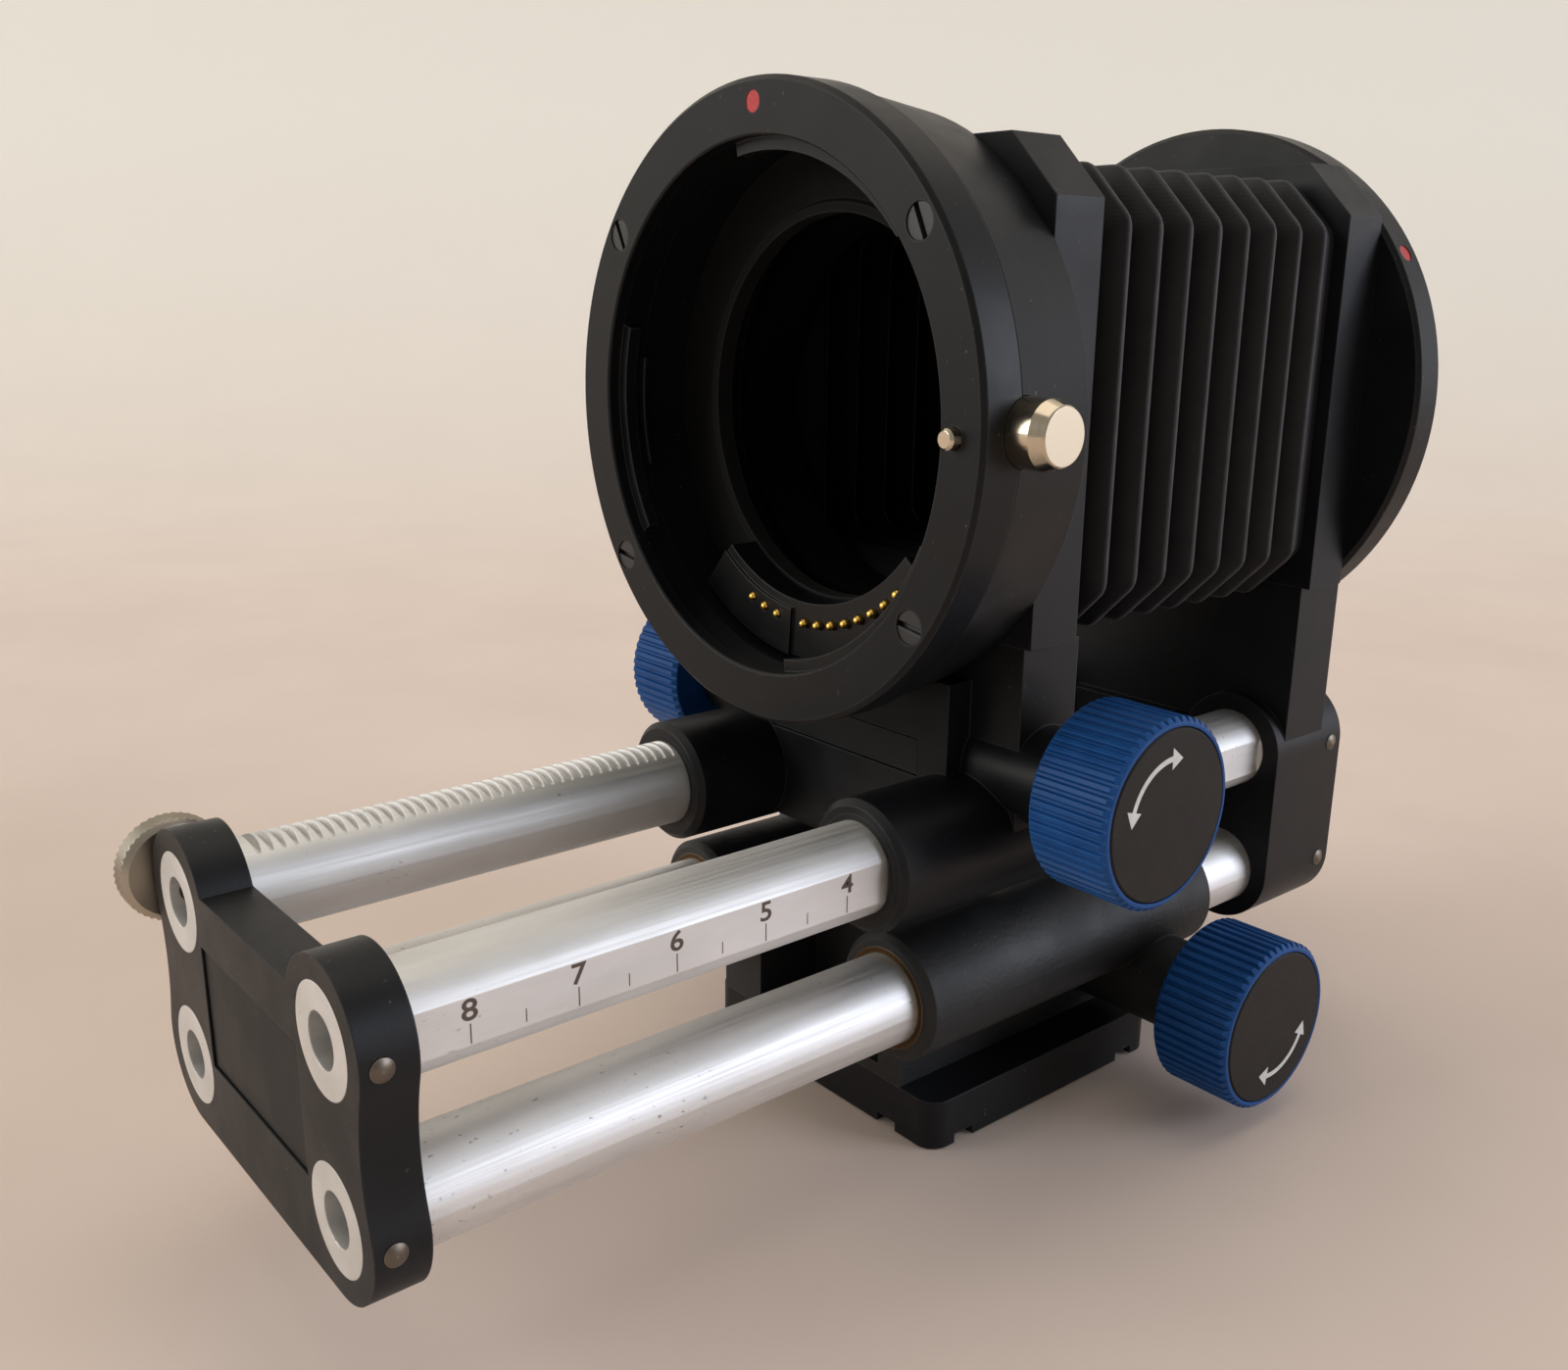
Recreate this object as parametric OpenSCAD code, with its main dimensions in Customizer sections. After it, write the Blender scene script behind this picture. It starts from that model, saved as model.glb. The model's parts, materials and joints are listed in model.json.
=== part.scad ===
// Macro bellows unit: a four-rod rail that carries a lens standard, a camera standard and a
// pleated bellows between them, on a focusing carriage with a foot.
// Frame: X to the drive-knob side, Y from the lens end to the camera end, Z up.
// Origin: mouth of the tripod socket, on the face that the foot rests on. Millimetres.

/* [Rail] */
// Diameter of the four rods
rod_d = 10; // [8.5:0.5:12]
// Diameter of the hollow through each rod
rod_bore_d = 5; // [4:0.25:6]
// Distance between the left and the right rods
rod_span = 34.2; // [32:0.2:41]
// Length of the rail, from the end plate's face to the back of the camera clamp block
rail_len = 137.8; // [130:0.1:170]
// Height of the lower rods above the resting face
rail_h = 20; // [18.5:0.5:26]
// Wall around a rod, in the barrels, the end plate and the clamp block
barrel_wall = 2.2; // [1.8:0.1:3]
// Gap between the barrels of the lens standard and those of the carriage
barrel_gap = 2; // [1:0.5:4]
// Radial running clearance of a rod in its bushes, and of a shaft in its bearings
run_gap = 0.05; // [0.03:0.01:0.08]

/* [Rest position] */
// Distance from the end plate's face back to the middle of the foot
rail_out = 86.6; // [84:0.1:100]
// Distance from the end plate's face back to the lens standard's pinion shaft
lens_at = 77.6; // [60:0.1:90]

/* [Racks and pinions] */
// Gear module of the racks and pinions
gear_m = 0.4; // [0.35:0.05:0.5]
// Teeth on a pinion
pinion_teeth = 15; // [13:1:18]
// Length of the teeth along the shaft
pinion_w = 6; // [5:0.5:7]
// Diameter of a pinion shaft
shaft_d = 4; // [3.4:0.2:4.4]

/* [Knobs] */
// Diameter of a knob over its ribs
knob_d = 20.1; // [17:0.1:24]
// Length of a knob
knob_w = 9.8; // [8:0.1:12]
// Distance from the middle plane to a knob's inner face
knob_in = 30.2; // [30:0.1:36]
// Number of grip ribs
knob_ribs = 54; // [36:1:64]
// Diameter of the dark disc on the knob's face
cap_d = 18.1; // [15:0.1:19]

/* [Standards] */
// Gap between the upper barrels and the lens mount ring above them
mount_lift = 5; // [4:0.1:14]
// Width of a standard's head
head_w = 51; // [50:0.5:60]
// Height of the head above the optical axis
head_up = 27.3; // [26:0.1:32]
// Height of the head below the optical axis
head_down = 22.5; // [22:0.1:26]
// Thickness of the head
head_t = 7; // [6:0.5:9]
// Leg of the chamfer on the head's top corners
head_chamfer = 6; // [4:0.5:8]
// Width of a standard's leg
leg_w = 48; // [44:0.5:49]
// Thickness of a standard's leg
leg_t = 8.6; // [8.6:0.2:11]
// Length of the camera standard's clamp block along the rods
clamp_len = 14.8; // [12:0.2:18]
// Thickness of the end plate
plate_t = 5; // [4.5:0.5:7]

/* [Lens mount] */
// Outer diameter of the lens mount ring
mount_d = 65; // [62:0.5:70]
// Diameter of the lens mount's throat
throat_d = 54.1; // [52:0.1:55]
// Depth of the mount ring, front to seam
mount_ring_t = 5.1; // [4.5:0.1:6]
// Distance from the mount's face back to the lens standard's pinion shaft
mount_reach = 21; // [20:0.1:26]
// Width of the baffle's ledge, from the throat's wall in to the aperture
ledge_w = 6.75; // [6.5:0.05:9]
// Distance from the throat's wall in to the circle that the contact pins stand on
pin_inset = 4.15; // [3.6:0.05:4.4]
// Angle from one contact pin to the next
pin_step = 5.7; // [5.2:0.1:6]

/* [Camera mount] */
// Outer diameter of the camera mount disc
disc_d = 65.4; // [62:0.1:70]
// Thickness of the camera mount disc
disc_t = 4.6; // [4:0.1:6]
// Diameter of the male bayonet's tube
bayonet_d = 49.4; // [46:0.1:50]
// Length of the male bayonet behind the disc
bayonet_len = 5.6; // [5:0.1:7]

/* [Bellows] */
// Number of pleats
pleats = 8; // [6:1:10]
// Outer width of the bellows over its ridges
bellows_w = 49; // [46:0.5:50]
// Outer height of the bellows over its ridges
bellows_h = 49; // [46:0.5:50]
// Depth of a pleat, ridge to valley
pleat_d = 5.5; // [4:0.5:6]
// Radial thickness of the folded skin
fold_skin = 1.2; // [0.9:0.1:1.5]
// Plain collar between the lens standard and the first pleat
front_collar = 3.1; // [1:0.1:4]
// Plain collar between the last pleat and the camera standard
rear_collar = 0.4; // [0.4:0.1:2]

/* [Carriage] */
// Length of the carriage's barrels
carriage_len = 49.8; // [46:0.2:60]
// Width of the foot plate
foot_w = 40; // [38:0.5:48]
// Length of the foot plate along the rail
foot_len = 39.5; // [38:0.5:48]
// Thickness of the foot plate
foot_t = 5.9; // [5:0.1:7]
// Width of the block between the barrels
core_w = 29; // [26:0.5:32]
// Distance of the lower pinion shaft behind the middle of the foot
lower_shaft_y = 15.4; // [13:0.1:17]

/* [Hidden] */
$fn = 96;

// rods and barrels
rod_r = rod_d / 2;
rod_x = rod_span / 2;
barrel_r = rod_r + barrel_wall;
rod_rise = 2 * barrel_r + barrel_gap;
lower_z = rail_h;
upper_z = rail_h + rod_rise;
axis_z = upper_z + barrel_r + mount_lift + mount_d / 2;
flat_depth = 0.5;           // depth of the scale flat below the rod's round
bush_wall = 0.7;
barrel_edge = 0.7;          // chamfer on a barrel's ends
bush_len = 5;
relief = 0.4;               // extra radius of a barrel's bore between its bushes
eps = 0.5;                  // overrun of a cutting tool past the face it cuts

// places along the rail
front_y = -rail_out;
back_y = front_y + rail_len;
plate_back_y = front_y + plate_t;
lens_y = front_y + lens_at;
clamp_y = back_y - clamp_len;
leg_set = 1.75;             // step from the clamp block's face back to the leg's face
head_lead = 0.75;           // step from a leg's face forward to its head's face
cam_leg_y = clamp_y + leg_set;
cam_head_y = cam_leg_y - head_lead;
disc_y = cam_head_y + head_t;
bayonet_y = disc_y + disc_t;
lens_leg_y = lens_y - leg_t / 2;
lens_head_y = lens_leg_y - head_lead;
mount_y = lens_y - mount_reach;
seam_y = mount_y + mount_ring_t;

// racks and pinions
gear_pitch = PI * gear_m;
pinion_r = gear_m * pinion_teeth / 2;
tooth_depth = 2.25 * gear_m;
pressure_angle = 20;
backlash = 0.16;            // share of the pitch taken off each pinion tooth
shaft_rise = rod_r - gear_m + pinion_r;
upper_shaft_z = upper_z + shaft_rise;
lower_shaft_z = lower_z - shaft_rise;
pocket_r = pinion_r + gear_m + 0.25;
rack_margin = 5;            // rack teeth beyond the pinion's last place

// travels, from the rest position
stop_gap = 0.5;
lens_barrel_front = mount_y + 0.4;
lens_barrel_len = 35;
lens_forward = lens_barrel_front - plate_back_y - stop_gap;
lens_back = 24;
rail_forward = clamp_y - carriage_len / 2 - stop_gap;
rail_back = -carriage_len / 2 - plate_back_y - stop_gap;

// knobs, shafts and bearings
knob_r = knob_d / 2;
rib_h = 0.45;
cap_t = 0.8;
cap_gap = 0.1;
knob_gap = 0.3;             // between a knob's inner face and its boss
boss_r = shaft_d / 2 + 3.5;
boss_end = knob_in - knob_gap;
shaft_r = shaft_d / 2;
shaft_seat = 7;             // length of shaft held in the knob
bearing_wall = 1.5;
bearing_len = 6;
spindle_r = shaft_r + 0.5;
left_bearing_x = -rod_x - pinion_w / 2 - 0.5;
left_bearing_len = 3.4;
shaft_left_end = left_bearing_x - left_bearing_len + 0.3;
spindle_tip = left_bearing_x - left_bearing_len - 0.5;
pad_seat = 0.6;
pad_t = 0.2;                // how far the pad stands out of the spindle's tip

// lens mount
mount_r = mount_d / 2;
housing_r = mount_r - 0.3;
housing_taper = 1.3;        // the housing narrows from the seam back to the head
housing_back_r = housing_r - housing_taper;
throat_r = throat_d / 2;
aperture_r = throat_r - ledge_w;
pin_circle_r = throat_r - pin_inset;
housing_bore_r = throat_r + 0.6;
lip_relief = 0.3;           // the throat is wider behind its front lip
seam_edge = 0.25;           // broken edges that show the seam between ring and housing
tab_r = throat_r - 1.3;
tab_set = 1.6;              // from the mount's face to the tabs
tab_t = 1.4;
tabs = [[42, 58], [162, 52], [-82, 58]]; // start and sweep of each bayonet tab, in degrees
spring_t = 0.3;
spring_sweep = 27;
spring_y = mount_y + tab_set + tab_t + 1.3;
screw_circle_r = mount_r - 2.5;
mount_screw_angles = [38, 143, 217, 323];
screw_head_r = 1.7;
screw_shank_r = 1;
dot_r = 1.05;
lock_pin_x = mount_r - 3.7;
lock_pin_r = 1;
lock_pin_out = 1.2;
lock_pin_travel = 1.4;
button_r = 3.25;
button_face_r = 2.75;
button_out = 4.2;
button_travel = 1.5;
button_bore_x = lock_pin_x + lock_pin_r + 0.4;
button_y = seam_y + 0.6;
button_z = axis_z + 0.5;
baffle_y = mount_y + 11.4;
baffle_t = 1.6;
baffle_rim = 0.5;
block_top_y = mount_y + 7.3;
block_t = baffle_y - block_top_y;
block_in_r = pin_circle_r - 2.3;
rim_clear_r = aperture_r + 1.6;
block_out_r = throat_r - 0.1;
block_start = -129;
block_sweep = 89;
pin_start = -111.5;
pin_slots = [0, 1, 2, 4, 5, 6, 7, 8, 9, 10, 11]; // one slot is left open between the two groups
contact_r = 0.5;
contact_travel = 0.8;
contact_out = 0.9;

// heads
hole_r = aperture_r + 0.2;
head_top = axis_z + head_up;
head_bottom = axis_z - head_down;
clamp_screw_y = (front_y + plate_back_y) / 2;
clamp_shank_r = 1.5;
clamp_head_gap = 0.7;
set_screw_r = 1.05;
set_screw_y = clamp_screw_y - 0.65;
plate_waist = 1.2;
panel_w = 23;               // recess for the name plate in the end plate
panel_h = 12.6;
panel_z = lower_z + 1.2;
panel_depth = 0.8;
slab_w = 2 * rod_x - 0.4;   // raised panel on the lens standard's leg
slab_t = 3.4;
label_w = 25;               // recess for the label on that panel
label_h = 4.3;
label_z = upper_z + 5.9;
label_depth = 0.5;
plate_gap = 0.15;           // around a plate in its recess
mount_seat_t = slab_t - head_lead + eps;    // depth of the housing's seat in the raised panel
mount_seat_slope = mount_seat_t * housing_taper / (lens_head_y - seam_y);

// bellows
bellows_z = axis_z + 0.8;
bellows_y0 = lens_head_y + head_t;
bellows_y1 = cam_head_y;
pleat_pitch = (bellows_y1 - bellows_y0 - front_collar - rear_collar) / pleats;
fold_chamfer = 5.6;
collar_in = bellows_w / 2 - hole_r - fold_skin - 0.4; // the collars cover the hole in the head

module along_y(y, len) {
    translate([0, y + len, 0]) rotate([90, 0, 0]) linear_extrude(len) children();
}

module tube_y(x, z, y, len, r) {
    translate([x, y + len, z]) rotate([90, 0, 0]) cylinder(h = len, r = r);
}

// a bar along Y whose end edges are broken by a chamfer c
module barrel_y(x, z, y, len, r, c) {
    translate([x, y, z]) rotate([-90, 0, 0]) rotate_extrude()
        polygon([[0, 0], [r - c, 0], [r, c], [r, len - c], [r - c, len], [0, len]]);
}

module bar_x(x, y, z, len, r) {
    translate([x, y, z]) rotate([0, 90, 0]) cylinder(h = len, r = r);
}

// a turned piece about the optical axis; the profile's x is the radius, its y runs back from y0
module turned(y0, angle = 360, start = 0) {
    translate([0, y0, axis_z]) rotate([-90, 0, 0]) rotate([0, 0, -start - angle])
        rotate_extrude(angle = angle) children();
}

// the four lobes of the end plate and the clamp block, as a flat outline in X and Z;
// waist is how far the sides are drawn in between an upper and a lower lobe
module lobed_outline(waist) {
    for (x = [-rod_x, rod_x], z = [lower_z, upper_z])
        translate([x, z]) circle(r = barrel_r);
    if (waist > 0) waisted_web(waist);
    else translate([-rod_x - barrel_r, lower_z]) square([2 * (rod_x + barrel_r), rod_rise]);
    translate([-rod_x, lower_z - barrel_r])
        square([rod_span, rod_rise + barrel_r + rod_r - 2.4]);
}

// the web between the upper and the lower lobes; each side is one arc that runs smoothly into both lobes
module waisted_web(waist) {
    neck = barrel_r - waist;
    arc_r = (neck * neck + rod_rise * rod_rise / 4 - barrel_r * barrel_r) / (2 * waist);
    touch = asin(rod_rise / 2 / (arc_r + barrel_r));
    half_w = rod_x + barrel_r * cos(touch);
    translate([-half_w, lower_z + barrel_r * sin(touch)]) difference() {
        square([2 * half_w, rod_rise - 2 * barrel_r * sin(touch)]);
        for (side = [-1, 1])
            translate([half_w + side * (rod_x + neck + arc_r), rod_rise / 2 - barrel_r * sin(touch)])
                circle(r = arc_r, $fn = 240);
    }
}

// ---- rods

module rod_blank(x, z) {
    tube_y(x, z, front_y, rail_len, rod_r);
}

module rod_hollow(x, z) {
    tube_y(x, z, front_y - eps, rail_len + 2 * eps, rod_bore_d / 2);
}

// spaces between the rack's teeth, as one comb; y0 is the middle of one space
module rack_comb(y0, from_y, to_y) {
    first = ceil((from_y - y0) / gear_pitch);
    last = floor((to_y - y0) / gear_pitch);
    half_top = gear_pitch / 4 + gear_m * tan(pressure_angle);
    half_root = half_top - tooth_depth * tan(pressure_angle);
    points = concat(
        [[y0 + first * gear_pitch - 1, 1]],
        [for (k = [first:last], c = [[-half_top, 0], [-half_root, -tooth_depth],
            [half_root, -tooth_depth], [half_top, 0]]) [y0 + k * gear_pitch + c[0], c[1]]],
        [[y0 + last * gear_pitch + 1, 1]]
    );
    translate([-rod_r, 0, 0]) rotate([90, 0, 90]) linear_extrude(rod_d) polygon(points);
}

module rod_upper_left() {
    color("silver") difference() {
        rod_blank(-rod_x, upper_z);
        rod_hollow(-rod_x, upper_z);
        translate([-rod_x, 0, upper_z + rod_r])
            rack_comb(lens_y, plate_back_y + 1.5, lens_y + lens_back + rack_margin);
        bar_x(-rod_x - rod_r - eps, clamp_screw_y, upper_z, rod_r + eps, clamp_shank_r + run_gap);
    }
}

module rod_upper_right() {
    flat_y = plate_back_y + 0.2;
    flat_len = clamp_y - 0.2 - flat_y;
    color("silver") difference() {
        rod_blank(rod_x, upper_z);
        rod_hollow(rod_x, upper_z);
        translate([rod_x + rod_r - flat_depth, flat_y, upper_z - rod_r])
            cube([flat_depth + eps, flat_len, rod_d]);
    }
}

module rod_lower_left() {
    color("silver") difference() {
        rod_blank(-rod_x, lower_z);
        rod_hollow(-rod_x, lower_z);
        translate([-rod_x, 0, lower_z - rod_r]) mirror([0, 0, 1])
            rack_comb(lower_shaft_y, lower_shaft_y - rail_back - rack_margin,
                lower_shaft_y + rail_forward + rack_margin);
    }
}

module rod_lower_right() {
    color("silver") difference() {
        rod_blank(rod_x, lower_z);
        rod_hollow(rod_x, lower_z);
    }
}

// ---- end plate and its screws

module end_plate() {
    color([0.1, 0.1, 0.11]) difference() {
        along_y(front_y, plate_t) lobed_outline(plate_waist);
        for (x = [-rod_x, rod_x], z = [lower_z, upper_z])
            tube_y(x, z, front_y - eps, plate_t + 2 * eps, rod_r);
        // recess for the name plate
        translate([-panel_w / 2, front_y - eps, panel_z]) cube([panel_w, eps + panel_depth, panel_h]);
        // clamp screw on the left, set screws on the other three lobes
        bar_x(-rod_x - barrel_r - eps, clamp_screw_y, upper_z, barrel_wall + 1 + eps,
            clamp_shank_r + run_gap);
        for (x = [-1, 1]) bar_x(x * (rod_x + rod_r + barrel_wall / 2) - barrel_wall, set_screw_y, lower_z,
            2 * barrel_wall, set_screw_r);
        bar_x(rod_x + rod_r - barrel_wall / 2, set_screw_y, upper_z, 2 * barrel_wall, set_screw_r);
    }
}

// a plain plate, left bare, that stands on the floor of its recess
module bare_plate(w, h, floor_y, z, t) {
    translate([plate_gap - w / 2, floor_y - t, z + plate_gap])
        cube([w - 2 * plate_gap, t, h - 2 * plate_gap]);
}

module name_plate() {
    color([0.12, 0.12, 0.13])
        bare_plate(panel_w, panel_h, front_y + panel_depth, panel_z, panel_depth - 0.25);
}

module label_plate() {
    color([0.12, 0.12, 0.13])
        bare_plate(label_w, label_h, lens_leg_y - slab_t + label_depth, label_z, label_depth - 0.1);
}

// a domed set screw whose tip stands on the rod
module set_screw(side, y, z) {
    len = barrel_wall - 0.4;
    translate([side * (rod_x + rod_r), y, z]) rotate([0, side * 90, 0]) {
        cylinder(h = len, r = set_screw_r);
        translate([0, 0, len]) intersection() {
            translate([0, 0, 0.8 - set_screw_r * 1.8]) sphere(r = set_screw_r * 1.8);
            cylinder(h = 1, r = set_screw_r);
        }
    }
}

module end_plate_screws() {
    color("silver") {
        set_screw(1, set_screw_y, upper_z);
        set_screw(1, set_screw_y, lower_z);
        set_screw(-1, set_screw_y, lower_z);
    }
}

module rod_clamp_screw() {
    head_x = -rod_x - barrel_r - clamp_head_gap;
    head_t2 = 3;
    head_r = 5.5;
    color("silver") translate([head_x, clamp_screw_y, upper_z]) rotate([0, -90, 0]) {
        rotate_extrude() polygon([[0, 0], [head_r - 0.5, 0], [head_r, 0.5], [head_r, head_t2 - 0.5],
            [head_r - 0.5, head_t2], [0, head_t2]]);
        // shank, whose tip comes level with the rod's hollow
        translate([0, 0, rod_bore_d / 2 - barrel_r - clamp_head_gap])
            cylinder(h = barrel_r + clamp_head_gap - rod_bore_d / 2 + 0.5, r = clamp_shank_r);
    }
}

// ---- standards

module head_outline() {
    half = head_w / 2;
    polygon([[-half, head_bottom], [half, head_bottom], [half, head_top - head_chamfer],
        [half - head_chamfer, head_top], [head_chamfer - half, head_top],
        [-half, head_top - head_chamfer]]);
}

module camera_standard() {
    color([0.09, 0.09, 0.1]) difference() {
        union() {
            along_y(clamp_y, clamp_len) lobed_outline(0);
            translate([-leg_w / 2, cam_leg_y, lower_z]) cube([leg_w, leg_t, head_bottom + 2 - lower_z]);
            along_y(cam_head_y, head_t) head_outline();
        }
        for (x = [-rod_x, rod_x], z = [lower_z, upper_z])
            tube_y(x, z, clamp_y - eps, clamp_len + 2 * eps, rod_r);
        tube_y(0, axis_z, cam_head_y - eps, leg_t + 2 * eps, hole_r);
        // seat of the mount disc in the leg
        tube_y(0, axis_z, disc_y, leg_t, disc_d / 2);
        for (x = [-1, 1], z = [lower_z, upper_z])
            bar_x(x * (rod_x + rod_r + barrel_wall / 2) - barrel_wall, back_y - 2.3, z,
                2 * barrel_wall, set_screw_r);
    }
}

module camera_standard_screws() {
    color("silver") for (x = [-1, 1], z = [lower_z, upper_z]) set_screw(x, back_y - 2.3, z);
}

module lens_standard() {
    slab_bottom = upper_z - barrel_r + 2;
    color([0.09, 0.09, 0.1]) difference() {
        union() {
            translate([-leg_w / 2, lens_leg_y, upper_z]) cube([leg_w, leg_t, head_bottom - upper_z]);
            translate([-leg_w / 2, lens_leg_y, head_bottom - 2]) cube([leg_w, head_t - 2, 4]);
            translate([-rod_x, lens_leg_y, upper_z - barrel_r]) cube([rod_span, leg_t, barrel_r + 1]);
            along_y(lens_head_y, head_t) head_outline();
            // raised panel that carries the label's recess
            translate([-slab_w / 2, lens_leg_y - slab_t, slab_bottom])
                cube([slab_w, slab_t + 1, axis_z - mount_r + 5 - slab_bottom]);
            for (x = [-rod_x, rod_x])
                barrel_y(x, upper_z, lens_barrel_front, lens_barrel_len, barrel_r, barrel_edge);
            bar_x(-boss_end, lens_y, upper_shaft_z, 2 * boss_end, boss_r);
        }
        translate([-label_w / 2, lens_leg_y - slab_t - eps, label_z])
            cube([label_w, eps + label_depth, label_h]);
        tube_y(0, axis_z, lens_head_y - eps, leg_t + 2 * eps, hole_r);
        // seat of the mount's housing in the raised panel
        turned(lens_head_y) polygon([[0, -mount_seat_t], [housing_back_r + mount_seat_slope, -mount_seat_t],
            [housing_back_r, 0], [0, 0]]);
        for (x = [-rod_x, rod_x])
            barrel_bores(x, upper_z, lens_barrel_front, lens_barrel_len);
        shaft_bores(lens_y, upper_shaft_z);
    }
}

// the stepped bore of one barrel: a seat for a bush at each end, relieved between them
module barrel_bores(x, z, y, len) {
    tube_y(x, z, y - eps, len + 2 * eps, rod_r + relief);
    tube_y(x, z, y - eps, bush_len + eps, rod_r + bush_wall);
    tube_y(x, z, y + len - bush_len, bush_len + eps, rod_r + bush_wall);
}

// the crossing bores for a pinion shaft, its bearings, its pinion and the lock spindle
module shaft_bores(y, z) {
    bar_x(left_bearing_x - eps, y, z, boss_end - left_bearing_x + 2 * eps, shaft_r + relief);
    bar_x(boss_end - bearing_len, y, z, bearing_len + eps, shaft_r + bearing_wall);
    bar_x(left_bearing_x - left_bearing_len, y, z, left_bearing_len + eps, shaft_r + bearing_wall);
    bar_x(-rod_x - pinion_w / 2 - 0.5, y, z, pinion_w + 1, pocket_r);
    bar_x(-boss_end - eps, y, z, boss_end + eps + left_bearing_x - left_bearing_len + eps,
        spindle_r + run_gap);
}

module rod_bush(x, z, y) {
    difference() {
        tube_y(x, z, y, bush_len, rod_r + bush_wall);
        tube_y(x, z, y - eps, bush_len + 2 * eps, rod_r + run_gap);
    }
}

module upper_rod_bushes() {
    color([0.15, 0.15, 0.16]) for (x = [-rod_x, rod_x])
        for (y = [lens_barrel_front, lens_barrel_front + lens_barrel_len - bush_len])
            rod_bush(x, upper_z, y);
}

module lower_rod_bushes() {
    color([0.55, 0.42, 0.2]) for (x = [-rod_x, rod_x])
        for (y = [-carriage_len / 2, carriage_len / 2 - bush_len])
            rod_bush(x, lower_z, y);
}

module shaft_bushes(y, z) {
    color([0.55, 0.42, 0.2]) difference() {
        union() {
            bar_x(boss_end - bearing_len, y, z, bearing_len, shaft_r + bearing_wall);
            bar_x(left_bearing_x - left_bearing_len, y, z, left_bearing_len - 0.1, shaft_r + bearing_wall);
        }
        bar_x(-boss_end, y, z, 2 * boss_end + eps, shaft_r + run_gap);
    }
}

module upper_shaft_bushes() {
    shaft_bushes(lens_y, upper_shaft_z);
}

module lower_shaft_bushes() {
    shaft_bushes(lower_shaft_y, lower_shaft_z);
}

// ---- knobs, caps, shafts and spindles; side is 1 on the drive side and -1 on the lock side

module knob(side, y, z, bore_r) {
    step = 360 / knob_ribs;
    outline = [for (k = [0:knob_ribs - 1], c = [[0.12, -rib_h], [0.3, 0], [0.7, 0], [0.88, -rib_h]])
        let (a = (k + c[0]) * step, r = knob_r + c[1]) [r * cos(a), r * sin(a)]];
    color([0.05, 0.2, 0.55]) translate([side * knob_in, y, z]) rotate([0, side * 90, 0]) difference() {
        intersection() {
            linear_extrude(knob_w) polygon(outline);
            rotate_extrude() polygon([[0, 0], [knob_r - 0.55, 0], [knob_r + 0.05, 0.6],
                [knob_r + 0.05, knob_w - 0.6], [knob_r - 0.55, knob_w], [0, knob_w]]);
        }
        translate([0, 0, -eps]) cylinder(h = shaft_seat + eps, r = bore_r);
        translate([0, 0, knob_w - cap_t + 0.1]) cylinder(h = cap_t + eps, r = cap_d / 2 + cap_gap);
    }
}

module knob_cap(side, y, z) {
    color([0.16, 0.14, 0.13]) translate([side * (knob_in + knob_w - cap_t + 0.1), y, z])
        rotate([0, side * 90, 0]) rotate_extrude()
            polygon([[0, 0], [cap_d / 2, 0], [cap_d / 2, cap_t - 0.2], [cap_d / 2 - 0.2, cap_t], [0, cap_t]]);
}

// a shaft with its pinion cut on it; point is the direction in Z of the tooth that is in mesh
module pinion_shaft(y, z, point) {
    step = 360 / pinion_teeth;
    share = 0.5 - backlash / 2;
    root_r = pinion_r - 1.25 * gear_m;
    tip_r = pinion_r + gear_m - 0.05;
    root_half = share * step / 2 + 1.8;
    tip_half = share * step / 2 - 2.6;
    outline = [for (k = [0:pinion_teeth - 1], c = [[root_r, -root_half], [tip_r, -tip_half],
        [tip_r, tip_half], [root_r, root_half]])
        let (a = k * step + c[1]) [c[0] * cos(a), c[0] * sin(a)]];
    color("lightgray") union() {
        bar_x(shaft_left_end, y, z, knob_in + shaft_seat - 0.2 - shaft_left_end, shaft_r);
        translate([-rod_x - pinion_w / 2, y, z]) rotate([0, 90, 0]) rotate([0, 0, point > 0 ? 180 : 0])
            linear_extrude(pinion_w) polygon(outline);
    }
}

module lock_spindle(y, z) {
    color("lightgray") difference() {
        bar_x(-knob_in - shaft_seat + 0.2, y, z, spindle_tip + knob_in + shaft_seat - 0.2, spindle_r);
        bar_x(spindle_tip - pad_seat, y, z, pad_seat + eps, shaft_r - 0.3);
    }
}

// the soft pad on a spindle's tip, which presses on the end of the pinion shaft
module lock_pad(y, z) {
    color("goldenrod") bar_x(spindle_tip - pad_seat, y, z, pad_seat + pad_t, shaft_r - 0.3);
}

module upper_drive_knob() { knob(1, lens_y, upper_shaft_z, shaft_r); }
module upper_drive_cap() { knob_cap(1, lens_y, upper_shaft_z); }
module upper_pinion_shaft() { pinion_shaft(lens_y, upper_shaft_z, -1); }
module upper_lock_knob() { knob(-1, lens_y, upper_shaft_z, spindle_r); }
module upper_lock_cap() { knob_cap(-1, lens_y, upper_shaft_z); }
module upper_lock_spindle() { lock_spindle(lens_y, upper_shaft_z); }
module upper_lock_pad() { lock_pad(lens_y, upper_shaft_z); }
module lower_drive_knob() { knob(1, lower_shaft_y, lower_shaft_z, shaft_r); }
module lower_drive_cap() { knob_cap(1, lower_shaft_y, lower_shaft_z); }
module lower_pinion_shaft() { pinion_shaft(lower_shaft_y, lower_shaft_z, 1); }
module lower_lock_knob() { knob(-1, lower_shaft_y, lower_shaft_z, spindle_r); }
module lower_lock_cap() { knob_cap(-1, lower_shaft_y, lower_shaft_z); }
module lower_lock_spindle() { lock_spindle(lower_shaft_y, lower_shaft_z); }
module lower_lock_pad() { lock_pad(lower_shaft_y, lower_shaft_z); }

// ---- lens mount

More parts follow.
